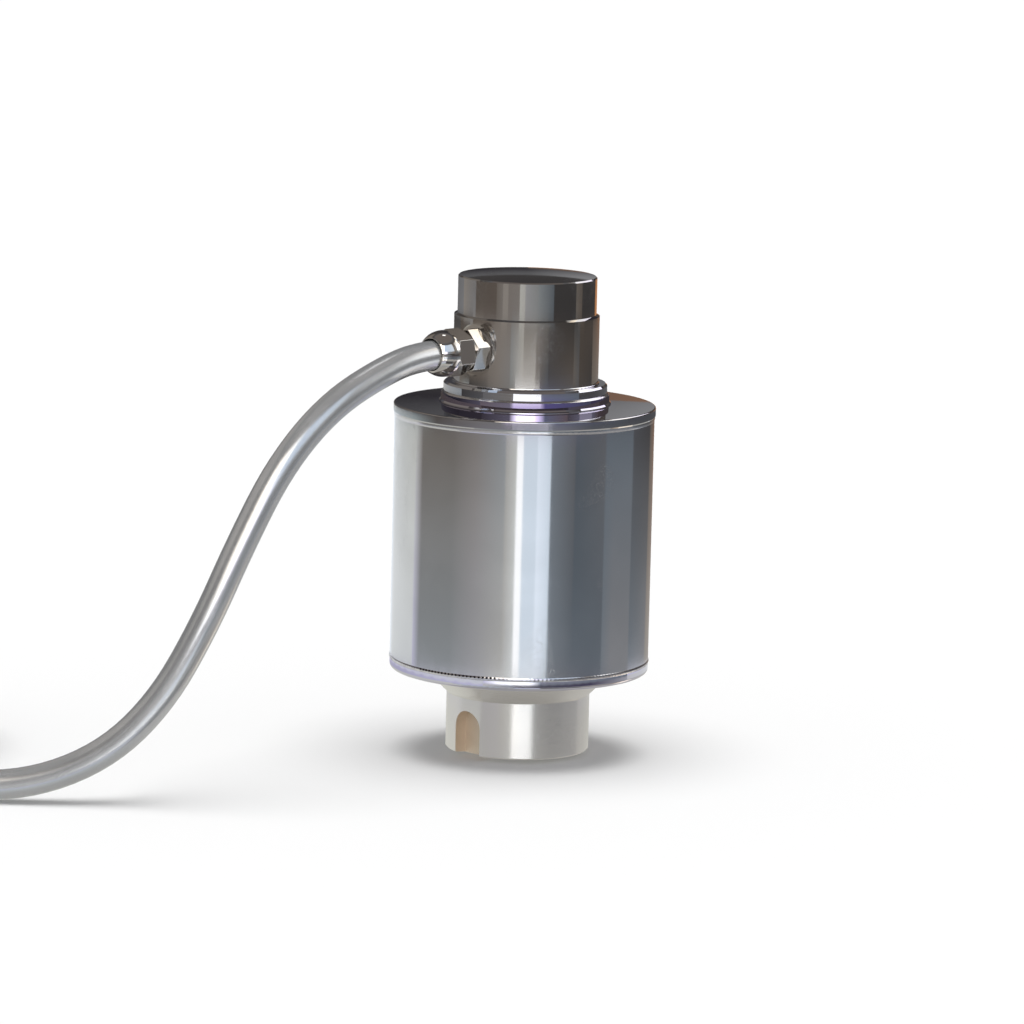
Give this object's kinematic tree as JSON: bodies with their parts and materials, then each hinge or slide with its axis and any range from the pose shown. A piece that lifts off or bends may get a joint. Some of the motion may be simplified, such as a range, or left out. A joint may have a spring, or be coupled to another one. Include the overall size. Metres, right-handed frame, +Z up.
{
  "type": "compression load cell",
  "caption": "Round welded compression load cell with spherical load head, slotted foot, side cable gland and a coiled lead with bare cores.",
  "frame": {"origin": "pole of the spherical foot, where the cell stands, on the column's axis", "axes": "+Z up along the load axis; the gland and the foot slot face the -X -Y quarter"},
  "size_m": [0.3586, 0.1528, 0.15],
  "materials": {
    "column_steel": "turned and polished stainless steel, satin at the foot",
    "sleeve_steel": "polished stainless steel",
    "cover_steel": "polished stainless steel with a heat tint near the hub",
    "lower_cover_steel": "polished stainless steel with a faint violet heat tint",
    "weld_metal": "tinted weld ripple",
    "circuit_board": "green solder mask",
    "spacer_brass": "turned brass",
    "screw_steel": "bright steel",
    "resistor_body": "lacquered",
    "gauge_film": "amber polyimide film with a foil grid",
    "terminal_pad": "copper lands on a thin strip",
    "bridge_wire": "enamelled wire",
    "gland_nickel": "bright nickel plate",
    "washer_fibre": "black sealing ring",
    "seal_rubber": "black rubber",
    "cable_sheath": "smooth silver-grey sheath",
    "core_red": "insulation",
    "core_black": "insulation",
    "core_green": "insulation",
    "core_white": "insulation",
    "tie_nylon": "black nylon",
    "heat_shrink": "black heat-shrink tube",
    "tinned_copper": "tin plate"
  },
  "bodies": {
    "root": {"load_column": "column_steel", "housing_sleeve": "sleeve_steel", "top_cover": "cover_steel", "bottom_cover": "lower_cover_steel", "upper_seam_weld": "weld_metal", "lower_seam_weld": "weld_metal", "collar_weld": "weld_metal", "flange_weld": "weld_metal", "compensation_board": "circuit_board", "gland_body": "gland_nickel", "gland_nut": "gland_nickel", "gland_washer": "washer_fibre", "gland_seal": "seal_rubber", "cable": "cable_sheath", "cable_coil": "cable_sheath", "end_sleeve": "heat_shrink", "core_ferrules": "tinned_copper", "board_spacer_1": "spacer_brass", "board_screw_1": "screw_steel", "cable_tie_1": "tie_nylon", "board_spacer_2": "spacer_brass", "board_screw_2": "screw_steel", "cable_tie_2": "tie_nylon", "board_spacer_3": "spacer_brass", "board_screw_3": "screw_steel", "cable_tie_3": "tie_nylon", "trim_resistor_1": "resistor_body", "strain_gauge_1": "gauge_film", "terminal_strip_1": "terminal_pad", "bridge_wire_1": "bridge_wire", "trim_resistor_2": "resistor_body", "strain_gauge_2": "gauge_film", "terminal_strip_2": "terminal_pad", "bridge_wire_2": "bridge_wire", "trim_resistor_3": "resistor_body", "strain_gauge_3": "gauge_film", "terminal_strip_3": "terminal_pad", "bridge_wire_3": "bridge_wire", "trim_resistor_4": "resistor_body", "strain_gauge_4": "gauge_film", "terminal_strip_4": "terminal_pad", "bridge_wire_4": "bridge_wire", "inner_core_red": "core_red", "end_core_red": "core_red", "inner_core_black": "core_black", "end_core_black": "core_black", "inner_core_green": "core_green", "end_core_green": "core_green", "inner_core_white": "core_white", "end_core_white": "core_white"}
  },
  "joints": []
}
